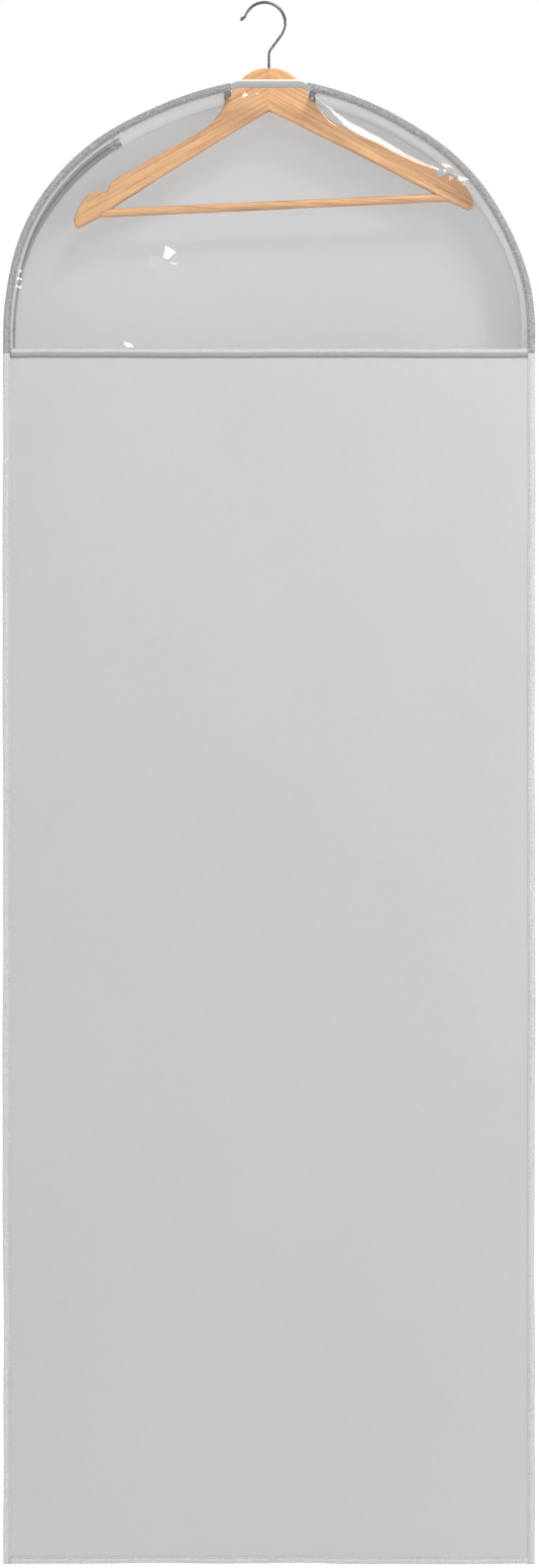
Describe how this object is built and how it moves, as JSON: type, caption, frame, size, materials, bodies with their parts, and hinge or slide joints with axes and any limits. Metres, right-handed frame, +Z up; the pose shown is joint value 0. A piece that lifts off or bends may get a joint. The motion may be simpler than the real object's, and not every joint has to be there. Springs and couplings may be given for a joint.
{
  "type": "garment bag",
  "caption": "Long gusseted garment bag with an arched clear window, side zipper and neck opening, hanging on a wooden hanger with a swivel hook.",
  "frame": {"origin": "inside top of the hook, the point that rests on a wardrobe rod", "axes": "+Z up along the bag's height, +Y from the front (window side) to the back, +X to the wearer-facing view's right; the swivel axis is 5 mm to the right of the origin"},
  "size_m": [0.6, 0.0765, 1.7727],
  "materials": {
    "panel_film": "satin",
    "clear_film": "gloss",
    "binding_tape": "matte",
    "zipper_tape": "matte",
    "zipper_coil": "satin",
    "zipper_metal": "satin",
    "beech": "satin",
    "hook_wire": "satin"
  },
  "bodies": {
    "bag": {"front_window": "clear_film", "front_panel": "panel_film", "back_panel": "panel_film", "right_side_gusset": "panel_film", "right_arch_gusset": "panel_film", "bottom_gusset": "panel_film", "left_side_gusset_front": "panel_film", "left_arch_gusset_front": "panel_film", "left_side_gusset_back": "panel_film", "left_arch_gusset_back": "panel_film", "left_arch_gusset_top": "panel_film", "left_gusset_foot": "panel_film", "front_arch_binding_right": "binding_tape", "front_side_binding_right": "binding_tape", "front_arch_binding_left": "binding_tape", "front_side_binding_left": "binding_tape", "front_hem_binding": "binding_tape", "front_neck_binding": "binding_tape", "back_arch_binding_right": "binding_tape", "back_side_binding_right": "binding_tape", "back_arch_binding_left": "binding_tape", "back_side_binding_left": "binding_tape", "back_hem_binding": "binding_tape", "back_neck_binding": "binding_tape", "window_crossbar": "binding_tape", "neck_end_binding_right": "binding_tape", "neck_end_binding_left": "binding_tape", "zipper_tape_front": "zipper_tape", "zipper_coil_front": "zipper_coil", "zipper_tape_back": "zipper_tape", "zipper_coil_back": "zipper_coil", "zipper_bottom_stop": "zipper_metal", "zipper_top_stop": "zipper_metal"},
    "slider": {"zipper_slider": "zipper_metal"},
    "tab": {"pull_tab": "zipper_metal"},
    "hanger": {"hanger_right_arm": "beech", "hanger_left_arm": "beech", "trouser_bar": "beech"},
    "hook": {"swivel_hook": "hook_wire"}
  },
  "joints": [
    {"name": "hook_swivel", "type": "hinge", "parent": "hook", "child": "hanger", "pos_m": [0.005, 0, -0.09], "axis": [0, 0, 1], "continuous": true},
    {"name": "bag_lift", "type": "slide", "parent": "hanger", "child": "bag", "axis": [0, 0, 1], "range_m": [0, 0.11]},
    {"name": "zipper_travel", "type": "slide", "parent": "bag", "child": "slider", "axis": [0, 0, -1], "range_m": [0, 1.372]},
    {"name": "tab_flip", "type": "hinge", "parent": "slider", "child": "tab", "pos_m": [-0.2916, 0, -0.3653], "axis": [0, 1, 0], "range_deg": [0, 175]}
  ]
}
